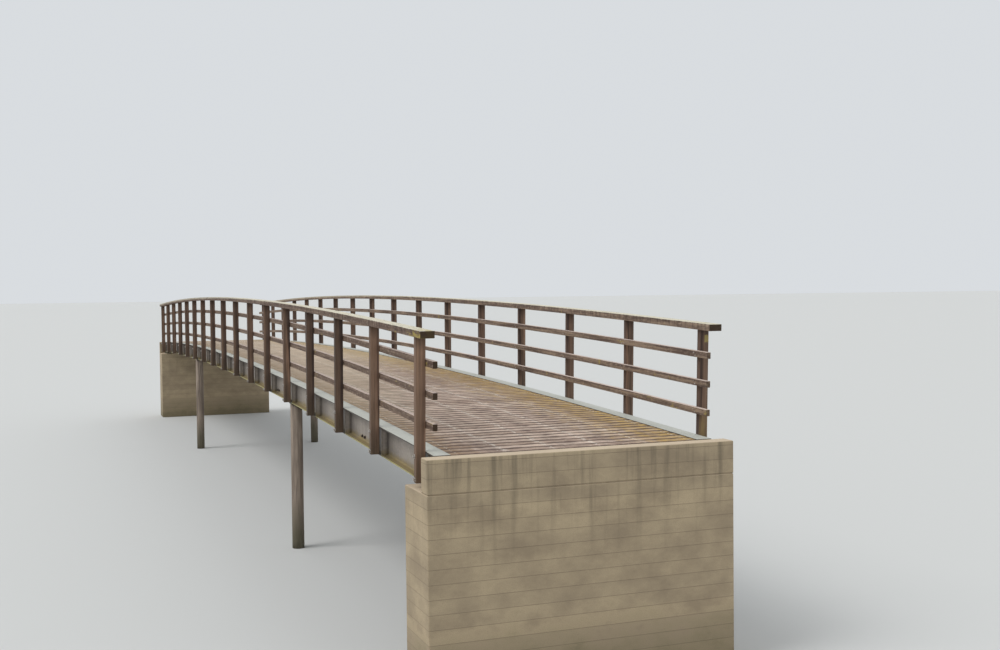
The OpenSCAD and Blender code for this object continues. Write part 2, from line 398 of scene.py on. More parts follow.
def deck_hardwood():
    """Hardwood boards with planed grooves, gone silver: pinkish grey, moss along the sides, painted shade in the
    grooves.
    """
    material, add, shader = new_material("weathered_grooved_hardwood")
    place, station, across, height = bridge_place(add)
    tone, own_place = own_pattern(add, place)

    # Grain, streaks, ragged edges, worn spots, flecks, tracks, sand and patches of moss. A row gives where the
    # pattern lies, the size of its cells in millimetres, its detail and its roughness
    grain, streak, ragged, worn, fleck, track, sand, patch = [
        add(
            "TexNoise",
            {
                "Vector": add("Mapping", {"Vector": laid_on, "Scale": per_metre(*sizes_mm)}),
                "Scale": 1.0,
                "Detail": detail,
                "Roughness": roughness,
            },
        )
        for laid_on, sizes_mm, detail, roughness in (
            (own_place, (5, 240, 12), 5.0, 0.6),
            (own_place, (30, 620, 40), 3.0, 0.5),
            (own_place, (40, 130, 60), 4.0, 0.5),
            (own_place, (28, 28, 28), 2.0, 0.5),
            (own_place, (34, 24, 30), 2.0, 0.5),
            (place, (1900, 120, 400), 4.0, 0.5),
            (place, (900, 350, 300), 5.0, 0.6),
            (place, (240, 90, 200), 6.0, 0.65),
        )
    ]

    # How near a point is to the sides of its board, with a ragged edge
    own = add("Attribute", attribute_name="own").outputs["Vector"]
    board = add("SeparateXYZ", {"Vector": own})
    off_board = add("Math", [board.outputs["X"]], operation="ABSOLUTE")
    ragged_shift = add("MapRange", {"Value": ragged, "From Min": 0.3, "From Max": 0.7, "To Min": -0.02, "To Max": 0.02})
    board_side = add("Math", [off_board, ragged_shift], operation="ADD")

    # How far a point is from the nearest row of screws
    off_row = off_nearest(add, board.outputs["Y"], BEARER_REACH, SCREW_ROW_PITCH)
    beside_row = add("Math", [off_row], operation="ABSOLUTE")

    # At the near end, right of the middle, the boards are darker half way between the bearers
    halfway = add("MapRange", {"Value": beside_row, "From Min": 0.1, "From Max": 0.18, "To Max": 0.5})
    right_of_middle = add("MapRange", {"Value": across, "From Min": -0.25, "From Max": -0.05})
    near_part = add("MapRange", {"Value": station, "From Min": 7.6, "From Max": 9.8})
    broken = add("MapRange", {"Value": ragged, "From Min": 0.36, "From Max": 0.56})
    for part in (right_of_middle, near_part, broken):
        halfway = add("Math", [halfway, part], operation="MULTIPLY")

    # Worn pale spots round the screws, drawn 20 mm wide so that they show in the render
    off_screw = add("Math", [off_board, SCREW_OFFSET], operation="SUBTRACT")
    off_spot = add("CombineXYZ", {"X": off_screw, "Y": off_row})
    spot = add("VectorMath", [off_spot], operation="LENGTH").outputs["Value"]
    worn_shift = add("MapRange", {"Value": worn, "From Min": 0.38, "From Max": 0.6, "To Min": 0.035, "To Max": -0.012})
    spot = add("Math", [spot, worn_shift], operation="ADD")

    # Pale flecks of worn wood and dust, about 25 mm across, thickest along the rows of screws
    along_row = add("MapRange", {"Value": beside_row, "From Min": 0.1, "From Max": 0.0, "To Max": 0.075})
    fleck = add("Math", [fleck, along_row], operation="ADD")

    # Moss and dirt along both sides, ochre on the right and browner on the left
    patch_shift = add("MapRange", {"Value": patch, "From Min": 0.3, "From Max": 0.7, "To Min": -0.35, "To Max": 0.35})
    right_side = add("MapRange", {"Value": across, "From Min": 0.22, "From Max": 1.16})
    right_moss = add("Math", [right_side, patch_shift], operation="ADD")
    left_side = add("MapRange", {"Value": across, "From Min": -0.7, "From Max": -1.14})
    left_dirt = add("Math", [left_side, patch_shift], operation="ADD")

    # From the middle of the bridge on, the boards dry faster and are paler, on the left from nearer, on the right later
    left_part = add("Math", [across, 0.0], operation="MINIMUM")
    left_lead = add("Math", [left_part, 4.5], operation="MULTIPLY")
    right_lag = add("MapRange", {"Value": across, "From Min": 0.1, "From Max": 0.45, "To Max": 2.6})
    dry_edge = station
    for shift in (patch_shift, left_lead, right_lag):
        dry_edge = add("Math", [dry_edge, shift], operation="ADD")

    colour = stained(
        add,
        "#bfa693",
        (tone, "#e6cfbc"),
        (grain, 0.42, 0.66, 0.55, "#866f62"),
        # Darker streaks down the board, where the wood is harder or wet
        (streak, 0.5, 0.7, 0.45, "#816a60"),
        (halfway, "#6f5b52"),
        # Tracks of dirt along the bridge, and sand between them
        (track, 0.52, 0.68, 0.45, "#7d6a62"),
        (sand, 0.5, 0.72, 0.45, "#cdbba6"),
        (spot, 0.026, 0.012, 0.8, "#efe4d6"),
        (fleck, 0.62, 0.7, 0.6, "#e2d5c5"),
        (right_moss, 0.2, 1.05, 0.85, stained(add, "#856b3a", (patch, "#e4bc61"))),
        (left_dirt, 0.3, 0.95, 0.8, stained(add, "#725c45", (patch, "#b9936e"))),
        # Dirt along the sides of each board
        (board_side, 0.032, 0.062, 0.9, "#5f4d44"),
        (dry_edge, 7.6, 3.6, 0.27, "#f3e1bf"),
        # Painted shade in the grooves and down the gaps, darker with depth
        (height, -DECK_DROP - 0.003, -DECK_DROP - 0.008, 0.85, "#3d332c"),
    )
    finish_surface(add, shader, colour, (grain, 0.72, 0.95), (grain, 0.0012))
    return material


def rail_hardwood():
    """Planed hardwood rails left bare: brown sides with drip stains, tops bleached to cream, lichen at the near end."""
    material, add, shader = new_material("weathered_rail_hardwood")
    place, station, across, height = bridge_place(add)
    own_place = own_pattern(add, place)[1]
    normal = add("SeparateXYZ", {"Vector": add("NewGeometry").outputs["Normal"]})

    # Bands of colour, drips, blotches, grain, cracks, patches of lichen and its crust, in rows as for the deck
    band, drip, blotch, grain, crack, patch, crust = [
        add(
            "TexNoise",
            {
                "Vector": add("Mapping", {"Vector": laid_on, "Scale": per_metre(*sizes_mm)}),
                "Scale": 1.0,
                "Detail": detail,
                "Roughness": roughness,
            },
        )
        for laid_on, sizes_mm, detail, roughness in (
            (own_place, (800, 30, 26), 4.0, 0.5),
            (own_place, (34, 60, 300), 3.0, 0.6),
            (own_place, (60, 22, 22), 4.0, 0.65),
            (own_place, (240, 5, 5), 5.0, 0.6),
            (own_place, (380, 4, 4), 1.0, 0.5),
            (place, (110, 60, 60), 3.0, 0.5),
            (place, (13, 13, 13), 5.0, 0.7),
        )
    ]

    # The top rail is greyer, and rain runs down its sides in dark drips about 35 mm apart, most on the left
    on_cap = add("MapRange", {"Value": height, "From Min": POST_H - 0.01, "From Max": POST_H})
    cap_lift = add("Math", [on_cap, 0.08], operation="MULTIPLY")
    drip_most = add("MapRange", {"Value": across, "From Min": -1.0, "From Max": 1.0, "To Min": 1.0, "To Max": 0.5})
    drip_mask = add("MapRange", {"Value": drip, "From Min": 0.46, "From Max": 0.6, "To Max": drip_most})
    drip_fade = add("MapRange", {"Value": height, "From Min": POST_H - 0.01, "From Max": POST_H + CAP_T / 2})
    drips = add("Math", [drip_mask, drip_fade], operation="MULTIPLY")

    # Tops bleached by the sun, cream on the top rail and pink on the others, most on the right
    grain_mask = add("MapRange", {"Value": grain, "From Min": 0.48, "From Max": 0.68, "To Max": 0.6})
    cream = stained(add, "#ddd6c0", (grain_mask, "#a7977f"))
    bleach = stained(add, stained(add, "#ecd8cc", (grain_mask, "#b59c8a")), (on_cap, cream))
    on_right = add("MapRange", {"Value": across, "From Min": -1.0, "From Max": 1.0, "To Min": 0.62, "To Max": 0.75})
    most = add("Math", [on_right, on_cap], operation="MAXIMUM")
    top = add("MapRange", {"Value": normal.outputs["Z"], "From Min": 0.35, "From Max": 0.9})
    top = add("Math", [top, most], operation="MULTIPLY")

    # The crest of the top rail's sides is bleached too, deeper beyond the crown than at the near end
    below_top = add("Math", [POST_H + CAP_T, height], operation="SUBTRACT")
    crest_depth = add(
        "MapRange", {"Value": station, "From Min": 7.0, "From Max": -3.0, "To Min": 0.002, "To Max": 0.03}
    )
    crest_ragged = add(
        "MapRange", {"Value": drip, "From Min": 0.35, "From Max": 0.65, "To Min": -0.005, "To Max": 0.005}
    )
    into_side = add("Math", [below_top, crest_depth], operation="SUBTRACT")
    into_side = add("Math", [into_side, crest_ragged], operation="ADD")
    crest = add("MapRange", {"Value": into_side, "From Min": 0.004, "From Max": -0.004, "To Max": 0.5})
    crest = add("Math", [crest, on_cap], operation="MULTIPLY")
    crack_mask = add("MapRange", {"Value": crack, "From Min": 0.66, "From Max": 0.7, "To Max": 0.8})

    # Crusts of lichen that thicken towards the near end, most on the left top rail
    near_end = add("MapRange", {"Value": station, "From Min": 11.3, "From Max": 12.0, "To Max": 0.07})
    left_cap = add("MapRange", {"Value": across, "From Min": 0.0, "From Max": -1.0})
    left_cap = add("Math", [left_cap, on_cap], operation="MULTIPLY")
    left_end = add("MapRange", {"Value": station, "From Min": 11.6, "From Max": 12.1, "To Max": 0.13})
    left_end = add("Math", [left_end, left_cap], operation="MULTIPLY")
    crust_part = add("Math", [crust, 0.35], operation="MULTIPLY")
    growth = patch
    for part in (near_end, left_end, crust_part):
        growth = add("Math", [growth, part], operation="ADD")

    # End grain, darkest where it stays damp, palest on the right below the top rail
    along = add("Math", [normal.outputs["X"]], operation="ABSOLUTE")
    end_grain = add("MapRange", {"Value": along, "From Min": 0.6, "From Max": 0.9, "To Max": 0.92})
    sunny_low = add("MapRange", {"Value": across, "From Min": 0.9, "From Max": 1.1, "To Max": 0.6})
    below_cap = add("Math", [1.0, on_cap], operation="SUBTRACT")
    sunny_low = add("Math", [sunny_low, below_cap], operation="MULTIPLY")
    kept_dark = add("Math", [1.0, sunny_low], operation="SUBTRACT")
    end_grain = add("Math", [end_grain, kept_dark], operation="MULTIPLY")

    colour = stained(
        add,
        "#58453b",
        (band, 0.36, 0.64, 1.0, "#95806c"),
        (cap_lift, "#b09a88"),
        (drips, "#3f3028"),
        # The left railing has stayed damper and is darker
        (across, 0.0, -1.0, 0.46, "#523828"),
        # Brown and grey blotches, about 60 mm long
        (blotch, 0.46, 0.32, 0.6, "#46362e"),
        (blotch, 0.54, 0.68, 0.5, "#b5a18e"),
        (grain_mask, "#4d3e35"),
        (top, bleach),
        (crest, bleach),
        # Drying cracks along the grain
        (crack_mask, "#2e241e"),
        (growth, 0.84, 0.95, 0.7, stained(add, "#7b683c", (crust, "#c9b552"))),
        (end_grain, "#36240f"),
    )
    relief = add("Math", [grain, crack_mask], operation="SUBTRACT")
    finish_surface(add, shader, colour, (grain, 0.7, 0.95), (relief, 0.0015))
    return material


def post_hardwood():
    """Planed hardwood posts: dark brown with upright streaks, greyer outside, damp and green at the foot."""
    material, add, shader = new_material("weathered_post_hardwood")
    place, station, across, height = bridge_place(add)
    tone, own_place = own_pattern(add, place)
    band_at = add("Mapping", {"Vector": own_place, "Scale": per_metre(42, 42, 1100)})
    band = add("TexNoise", {"Vector": band_at, "Scale": 1.0, "Detail": 3.0})
    band_mask = add("MapRange", {"Value": band, "From Min": 0.42, "From Max": 0.58})
    # The grain is drawn 9 mm wide, coarser than the real 3 mm, so that it shows in the render
    grain_at = add("Mapping", {"Vector": own_place, "Scale": per_metre(9, 9, 300)})
    grain = add("TexNoise", {"Vector": grain_at, "Scale": 1.0, "Detail": 5.0, "Roughness": 0.65})
    off_middle = add("Math", [across], operation="ABSOLUTE")
    normal = add("SeparateXYZ", {"Vector": add("NewGeometry").outputs["Normal"]})
    sideways = add("Math", [normal.outputs["Y"]], operation="ABSOLUTE")

    # Posts differ in tone, but from the seventh on none is pale
    far_tone = add("MapRange", {"Value": station, "From Min": 3.8, "From Max": 3.6, "To Max": 0.85})
    post_tone = add("Math", [tone, far_tone], operation="MAXIMUM")

    # On the left, the third and fourth posts are darker, and the end post is paler
    on_left = add("MapRange", {"Value": across, "From Min": -1.0, "From Max": -1.1})
    off_darker_pair = add("Math", [station, HALF_SPAN - 2.5 * BAY], operation="SUBTRACT")
    off_darker_pair = add("Math", [off_darker_pair], operation="ABSOLUTE")
    darker_pair = add("MapRange", {"Value": off_darker_pair, "From Min": BAY, "From Max": 0.75 * BAY, "To Max": 0.45})
    darker_pair = add("Math", [darker_pair, on_left], operation="MULTIPLY")
    end_from, end_full = HALF_SPAN - 0.1, HALF_SPAN - 0.06
    pale_end = add("MapRange", {"Value": station, "From Min": end_from, "From Max": end_full, "To Max": 0.2})
    pale_end = add("Math", [pale_end, on_left], operation="MULTIPLY")

    # Yellow lichen on the right end post, one patch under the top rail and a wash at the foot
    at_end = add("MapRange", {"Value": station, "From Min": end_from, "From Max": end_full})
    on_right = add("MapRange", {"Value": across, "From Min": 1.0, "From Max": 1.1})
    end_post = add("Math", [at_end, on_right], operation="MULTIPLY")
    outer_half = add("Math", [across, FRAME_HALF + POST_W / 2], operation="GREATER_THAN")
    off_patch = add("Math", [height, 0.9], operation="SUBTRACT")
    off_patch = add("Math", [off_patch], operation="ABSOLUTE")
    crust_at = add("Mapping", {"Vector": place, "Scale": per_metre(16, 16, 16)})
    crust = add("TexNoise", {"Vector": crust_at, "Scale": 1.0, "Detail": 5.0, "Roughness": 0.7})
    ragged = add("MapRange", {"Value": crust, "From Min": 0.3, "From Max": 0.7, "To Min": 0.015, "To Max": 0.05})
    patch_mask = add("Math", [off_patch, ragged], operation="LESS_THAN")
    for part in (end_post, outer_half, 0.75):
        patch_mask = add("Math", [patch_mask, part], operation="MULTIPLY")
    wash = add("MapRange", {"Value": height, "From Min": 0.26, "From Max": 0.1, "To Max": 0.55})
    for part in (band_mask, end_post):
        wash = add("Math", [wash, part], operation="MULTIPLY")

    colour = stained(
        add,
        "#3f2e25",
        (band_mask, "#8e6f59"),
        (grain, 0.48, 0.64, 0.65, "#37281f"),
        # The half away from the deck is greyer, and the faces that look across the bridge are darker
        (off_middle, FRAME_HALF + 0.02, FRAME_HALF + POST_W, 0.4, "#a58a73"),
        (sideways, 0.4, 0.9, 0.6, "#483830"),
        (post_tone, 0.0, 1.0, 0.5, "#4f3c33"),
        (darker_pair, "#2c2019"),
        (pale_end, "#b48c6e"),
        # Dark where the top rail shelters the wood, green at the foot
        (height, POST_H - 0.13, POST_H, 0.55, "#3a2d26"),
        (height, 0.02, -0.27, 0.5, "#4d4434"),
        (patch_mask, "#a8975a"),
        (wash, "#94804d"),
    )
    finish_surface(add, shader, colour, (grain, 0.68, 0.92), (grain, 0.0015))
    return material


def galvanised_steel():
    """Hot dip galvanised sections, dulled outdoors: pale top flange, grey web, moss low down, painted shade by the
    posts.
    """
    material, add, shader = new_material("weathered_galvanised_steel")
    place, station, across, height = bridge_place(add)
    normal = add("SeparateXYZ", {"Vector": add("NewGeometry").outputs["Normal"]})
    off_middle = add("Math", [across], operation="ABSOLUTE")

    # Zinc crystals about 16 mm across, clouds of dull oxide, and runs of dirt down the web
    crystal = add("TexVoronoi", {"Vector": place, "Scale": 1000 / 16})
    spangle = add("SeparateColor", {"Color": crystal.outputs["Color"]})
    cloud_at = add("Mapping", {"Vector": place, "Scale": per_metre(320, 200, 110)})
    cloud = add("TexNoise", {"Vector": cloud_at, "Scale": 1.0, "Detail": 5.0, "Roughness": 0.6})
    run_at = add("Mapping", {"Vector": place, "Scale": per_metre(24, 24, 600)})
    run = add("TexNoise", {"Vector": run_at, "Scale": 1.0, "Detail": 3.0})

    # Moss that creeps up from the lower flange, and a pale green edge below it
    creep_at = add("Mapping", {"Vector": place, "Scale": per_metre(110, 60, 40)})
    creep = add("TexNoise", {"Vector": creep_at, "Scale": 1.0, "Detail": 6.0, "Roughness": 0.65})
    creep_shift = add("MapRange", {"Value": creep, "From Min": 0.3, "From Max": 0.7, "To Min": -0.4, "To Max": 0.4})
    low = add("MapRange", {"Value": height, "From Min": -0.2, "From Max": -0.268})
    moss = add("Math", [low, creep_shift], operation="ADD")
    toe = add("MapRange", {"Value": height, "From Min": -0.266, "From Max": -0.27, "To Max": 0.7})
    toe_side = add("MapRange", {"Value": off_middle, "From Min": FRAME_HALF - 0.004, "From Max": FRAME_HALF - 0.001})
    toe = add("Math", [toe, toe_side], operation="MULTIPLY")

    # Dirt and painted shade under the top flange, and painted shade on the web behind the posts and past the plates
    under = add("MapRange", {"Value": height, "From Min": -0.045, "From Max": -0.013, "To Max": 0.75})
    off_post = off_nearest(add, station, -HALF_SPAN, BAY)
    before_plate = add("Math", [off_post, PLATE_OFF - PLATE_T / 2], operation="LESS_THAN")
    slit = add("MapRange", {"Value": off_post, "From Min": -0.44, "From Max": -0.22, "To Max": 0.85})
    slit = add("Math", [slit, before_plate], operation="MULTIPLY")
    past_plate = add("Math", [off_post, PLATE_OFF + PLATE_T / 2], operation="SUBTRACT")
    on_web = add("Math", [past_plate, PLATE_SKIN], operation="GREATER_THAN")
    shade = add("MapRange", {"Value": past_plate, "From Min": 0.42, "From Max": 0.0, "To Max": 0.52})
    shade = add("Math", [shade, on_web], operation="MULTIPLY")

    # Painted shade on the plates, dark along the web and a little along their outer edges
    off_plate = add("Math", [past_plate, PLATE_T / 2], operation="ADD")
    off_plate = add("Math", [off_plate], operation="ABSOLUTE")
    on_plate = add("Math", [off_plate, PLATE_T / 2 + PLATE_SKIN], operation="LESS_THAN")
    inner_edge = add(
        "MapRange", {"Value": off_middle, "From Min": WEB_OUT + 0.034, "From Max": WEB_OUT + 0.012, "To Max": 0.52}
    )
    outer_edge = add(
        "MapRange", {"Value": off_middle, "From Min": FRAME_HALF - 0.022, "From Max": FRAME_HALF - 0.006, "To Max": 0.3}
    )
    plate_shade = add("Math", [inner_edge, outer_edge], operation="MAXIMUM")
    plate_shade = add("Math", [plate_shade, on_plate], operation="MULTIPLY")
    behind = add("Math", [slit, shade], operation="MAXIMUM")
    behind = add("Math", [behind, plate_shade], operation="MAXIMUM")
    shade_and_dirt = add("Math", [under, behind], operation="MAXIMUM")
    below_top = add("MapRange", {"Value": height, "From Min": -0.0005, "From Max": -0.0015})
    shade_and_dirt = add("Math", [shade_and_dirt, below_top], operation="MULTIPLY")

    # The pale, rain washed top
    bright = stained(add, "#b9b9af", (spangle, "#c5c5bb"), (cloud, 0.5, 0.75, 0.4, "#aeb0a6"))
    facing_up = add("MapRange", {"Value": normal.outputs["Z"], "From Min": 0.6, "From Max": 0.9})
    at_top = add("MapRange", {"Value": height, "From Min": -0.004, "From Max": -0.002})
    top = add("Math", [facing_up, at_top], operation="MULTIPLY")

    colour = stained(
        add,
        # The zinc's dull grey, kept darker on the web as painted shade
        "#90877e",
        (spangle, "#9f958a"),
        (cloud, 0.4, 0.7, 0.6, "#827974"),
        (run, 0.52, 0.7, 0.35, "#645d5a"),
        (moss, 0.1, 1.0, 0.85, stained(add, "#6d5b38", (creep, "#a6935c"))),
        (toe, "#b0aa70"),
        # Undersides stay grey, out of the light and the rain
        (normal.outputs["Z"], -0.5, -0.9, 0.85, "#6d6761"),
        # Painted shade behind the posts and on the plates, and dirt with painted shade under the top flange
        (shade_and_dirt, "#282522"),
        (top, bright),
    )
    shader.inputs["Metallic"].default_value = 0.15
    finish_surface(add, shader, colour, (cloud, 0.48, 0.78), (cloud, 0.001))
    return material


def cast_concrete():
    """Concrete cast against boards, gone tan: lines of the formwork, pores, drips from the top, damp at the foot."""
    material, add, shader = new_material("weathered_cast_concrete")
    place = add("TexCoord").outputs["Object"]
    level = add("SeparateXYZ", {"Vector": place}).outputs["Z"]
    normal = add("SeparateXYZ", {"Vector": add("NewGeometry").outputs["Normal"]})
    cloud_at = add("Mapping", {"Vector": place, "Scale": per_metre(420, 420, 260)})
    cloud = add("TexNoise", {"Vector": cloud_at, "Scale": 1.0, "Detail": 7.0, "Roughness": 0.62})
    grit_at = add("Mapping", {"Vector": place, "Scale": per_metre(6, 6, 6)})
    grit = add("TexNoise", {"Vector": grit_at, "Scale": 1.0, "Detail": 3.0, "Roughness": 0.6})

    # Formwork boards, each one's print a little lighter or darker, with a fin at the joints
    course = add("Math", [level, FORM_BOARD_H], operation="DIVIDE")
    number = add("Math", [course], operation="FLOOR")
    print_tone = add("TexWhiteNoise", {"W": number}, noise_dimensions="1D")
    within = add("Math", [course], operation="FRACT")
    off_joint = add("Math", [within, 0.5], operation="SUBTRACT")
    off_joint = add("Math", [off_joint], operation="ABSOLUTE")
    joint = add("MapRange", {"Value": off_joint, "From Min": 0.475, "From Max": 0.49, "To Max": 0.55})
    upright = add("MapRange", {"Value": normal.outputs["Z"], "From Min": 0.5, "From Max": 0.3})
    joint = add("Math", [joint, upright], operation="MULTIPLY")

    # Drips from the top edge, and a damp green foot
    drip_at = add("Mapping", {"Vector": place, "Scale": per_metre(90, 90, 1500)})
    drip = add("TexNoise", {"Vector": drip_at, "Scale": 1.0, "Detail": 5.0, "Roughness": 0.6})
    drips = add("MapRange", {"Value": drip, "From Min": 0.52, "From Max": 0.68, "To Max": 0.6})
    drip_fade = add("MapRange", {"Value": level, "From Min": 1.0, "From Max": END_HEIGHT})
    for part in (drip_fade, upright):
        drips = add("Math", [drips, part], operation="MULTIPLY")
    ragged = add("MapRange", {"Value": cloud, "From Min": 0.3, "From Max": 0.7, "To Min": -0.35, "To Max": 0.35})
    foot = add("MapRange", {"Value": level, "From Min": 0.75, "From Max": 0.0})
    foot = add("Math", [foot, ragged], operation="ADD")

    colour = stained(
        add,
        "#9c8b72",
        (cloud, 0.35, 0.65, 1.0, "#bca98a"),
        (grit, 0.5, 0.7, 0.5, "#857661"),
        (print_tone, 0.0, 1.0, 0.3, "#8c7e6a"),
        (joint, "#6f624f"),
        (drips, "#5f5646"),
        # A worn, pale top
        (normal.outputs["Z"], 0.5, 0.95, 0.75, "#d7c3a8"),
        (foot, 0.3, 1.0, 0.7, "#5e583f"),
    )
    relief = add("Math", [grit, joint], operation="ADD")
    finish_surface(add, shader, colour, (grit, 0.8, 0.98), (relief, 0.002))
    return material


def pile_hardwood():
    """Round hardwood piles: grey brown, split along the grain, dark and green towards the foot."""
    material, add, shader = new_material("weathered_pile_hardwood")
    place = add("TexCoord").outputs["Object"]
    level = add("SeparateXYZ", {"Vector": place}).outputs["Z"]
    band_at = add("Mapping", {"Vector": place, "Scale": per_metre(55, 55, 700)})
    band = add("TexNoise", {"Vector": band_at, "Scale": 1.0, "Detail": 4.0})
    grain_at = add("Mapping", {"Vector": place, "Scale": per_metre(8, 8, 320)})
    grain = add("TexNoise", {"Vector": grain_at, "Scale": 1.0, "Detail": 5.0, "Roughness": 0.6})
    ragged = add("MapRange", {"Value": band, "From Min": 0.3, "From Max": 0.7, "To Min": -0.3, "To Max": 0.3})
    wet = add("MapRange", {"Value": level, "From Min": 0.9, "From Max": 0.1})
    wet = add("Math", [wet, ragged], operation="ADD")
    colour = stained(
        add,
        "#76685c",
        (band, 0.36, 0.64, 1.0, "#a39384"),
        (grain, 0.5, 0.66, 0.7, "#4a4039"),
        (wet, 0.3, 0.9, 0.8, "#474531"),
    )
    finish_surface(add, shader, colour, (grain, 0.7, 0.95), (grain, 0.002))
    return material


def sawn_hardwood():
    """Rough sawn bearers under the deck: damp and dark, with saw marks about 5 mm apart across them."""
    material, add, shader = new_material("rough_sawn_hardwood")
    place = bridge_place(add)[0]
    grain_at = add("Mapping", {"Vector": place, "Scale": per_metre(220, 7, 7)})
    grain = add("TexNoise", {"Vector": grain_at, "Scale": 1.0, "Detail": 5.0})
    mark_at = add("Mapping", {"Vector": place, "Scale": per_metre(5, 120, 120)})
    mark = add("TexNoise", {"Vector": mark_at, "Scale": 1.0, "Detail": 2.0})
    colour = stained(add, "#4b3d35", (grain, "#73604f"), (mark, 0.5, 0.7, 0.4, "#362b25"))
    finish_surface(add, shader, colour, (grain, 0.8, 0.98), (mark, 0.001))
    return material


def bearing_rubber():
    """Black elastomer pads, dusty and dull."""
    material, add, shader = new_material("dusty_elastomer")
    place = add("TexCoord").outputs["Object"]
    dust_at = add("Mapping", {"Vector": place, "Scale": per_metre(30, 30, 15)})
    dust = add("TexNoise", {"Vector": dust_at, "Scale": 1.0, "Detail": 5.0})
    colour = stained(add, "#1f1e1d", (dust, "#4c4740"))
    finish_surface(add, shader, colour, (dust, 0.55, 0.9), (dust, 0.0005))
    return material


def zinc_fasteners(name, clean, worn, metallic):
    """Zinc plated bolts and screws, from nearly clean to dark with rust, as the two colours say."""
    material, add, shader = new_material(name)
    place = add("TexCoord").outputs["Object"]
    spot_at = add("Mapping", {"Vector": place, "Scale": per_metre(9, 9, 9)})
    spot = add("TexNoise", {"Vector": spot_at, "Scale": 1.0, "Detail": 4.0})
    colour = stained(add, clean, (spot, 0.45, 0.65, 1.0, worn))
    shader.inputs["Metallic"].default_value = metallic
    finish_surface(add, shader, colour, (spot, 0.35, 0.75), (spot, 0.0003))
    return material


DECK_WOOD = deck_hardwood()
RAIL_WOOD = rail_hardwood()
POST_WOOD = post_hardwood()
STEEL = galvanised_steel()
CONCRETE = cast_concrete()
PILE_WOOD = pile_hardwood()
BEARER_WOOD = sawn_hardwood()
PAD_RUBBER = bearing_rubber()
BRIGHT_ZINC = zinc_fasteners("bright_zinc_screws", "#efe9df", "#cbbfae", 0.2)
DULL_ZINC = zinc_fasteners("dull_zinc_bolts", "#b6b2ac", "#7d6c5c", 0.4)
RUSTED_ZINC = zinc_fasteners("rusted_dark_bolts", "#3a3534", "#54402f", 0.2)


# Deck boards


def grooved_board(width, length, thickness):
    """A board across the bridge, its long top arrises eased, grooves cut in its top, its top at zero."""
    bm = bmesh.new()
    bmesh.ops.create_cube(bm, size=1)
    bmesh.ops.scale(bm, vec=(width, length, thickness), verts=bm.verts)
    bmesh.ops.translate(bm, vec=(0, 0, -thickness / 2), verts=bm.verts)
    along = [e for e in bm.edges if abs(e.verts[0].co.y - e.verts[1].co.y) > length / 2 and e.verts[0].co.z > -TOUCH]
    ease_edges(bm, along, BOARD_ARRIS, 1)
    pitch = width / GROOVES
    for i in range(GROOVES):
        centre = (i + 0.5) * pitch - width / 2
        for part in GROOVE_CUTS:
            cut_across(bm, (centre + part * GROOVE_W, 0, 0), (1, 0, 0))
        deep = [v for v in bm.verts if v.co.z > -TOUCH and abs(v.co.x - centre) < GROOVE_W / 3]
        bmesh.ops.translate(bm, vec=(0, 0, -GROOVE_DEPTH), verts=deep)
    return to_mesh(bm, "grooved_board")


def make_deck(name, node, start, end):
    """The boards of one length of deck. Returns their stations for the screws."""
    count = round((end - start) / BOARD_PITCH)
    pitch = (end - start) / count
    stations = [start + (i + 0.5) * pitch for i in range(count)]
    board = grooved_board(pitch - BOARD_GAP, 2 * DECK_HALF - BOARD_SHORT, BOARD_T - BOARD_THIN)
    places = []
    for s in stations:
        across = rng.uniform(-BOARD_SHIFT, BOARD_SHIFT)
        down = rng.uniform(0, BOARD_SINK)
        skew = Matrix.Rotation(rng.uniform(-BOARD_SKEW, BOARD_SKEW), 4, "Z")
        places.append(arc_place(s, across, -DECK_DROP - down, skew))
    add_piece(name, joined(name, [board] * count, places), DECK_WOOD, "deck_timber", node)
    return stations


def make_bearers(node, lengths):
    """Rough sawn beams along the bridge under the boards, in lengths that butt at the crown."""
    beams = []
    for start, end in lengths:
        for i in range(SCREW_ROWS):
            bm = timber(end - start, BEARER_W, BEARER_D, BEARER_CUTS)
            wander(bm, PLANED, BEARER_WAVE, seed=i * BEARER_SEED + start)
            mesh = to_mesh(bm, node)
            bend(mesh, (start + end) / 2, -BEARER_REACH + i * SCREW_ROW_PITCH, BEARER_TOP - BEARER_D / 2)
            beams.append(mesh)
    mesh = joined(node + "_sawn", beams, [Matrix.Identity(4)] * len(beams))
    add_piece(node + "_sawn", mesh, BEARER_WOOD, "bearer_timber", node)


def make_deck_screws(stations):
    """Two screws where each board crosses a bearer."""
    head = screw_head(DECK_SCREW_R, SCREW_HEAD_H)
    places = []
    for s in stations:
        for i in range(SCREW_ROWS):
            for offset in (-SCREW_OFFSET, SCREW_OFFSET):
                y = -BEARER_REACH + i * SCREW_ROW_PITCH + rng.uniform(-SCREW_WANDER, SCREW_WANDER)
                places.append(arc_place(s + offset, y, -DECK_DROP - SCREW_SINK))
    add_piece("deck_screws", joined("deck_screws", [head] * len(places), places), BRIGHT_ZINC, "steel")


# Rails and posts


def rail_lengths():
    """Start and end stations of each length of rail."""
    joints = [HALF_SPAN - i * BAY for i in range(RAIL_BAYS, BAYS, RAIL_BAYS)]
    ends = [HALF_SPAN + RAIL_OVER] + [s - BUTT_GAP / 2 for s in joints]
    starts = [s + BUTT_GAP / 2 for s in joints] + [-HALF_SPAN - RAIL_OVER]
    return list(zip(starts, ends))


def make_rail(node, y, width, low, high):
    """One rail from end to end of the bridge, in its lengths."""
    lengths = []
    for i, (start, end) in enumerate(rail_lengths()):
        bm = timber(end - start, width, high - low, RAIL_CUTS)
        wander(bm, PLANED, RAIL_WAVE, seed=y + i * RAIL_SEED)
        mesh = to_mesh(bm, node)
        bend(mesh, (start + end) / 2, y, (low + high) / 2)
        lengths.append(mesh)
    mesh = joined(node + "_wood", lengths, [Matrix.Identity(4)] * len(lengths))
    add_piece(node + "_wood", mesh, RAIL_WOOD, "railing_timber", node)


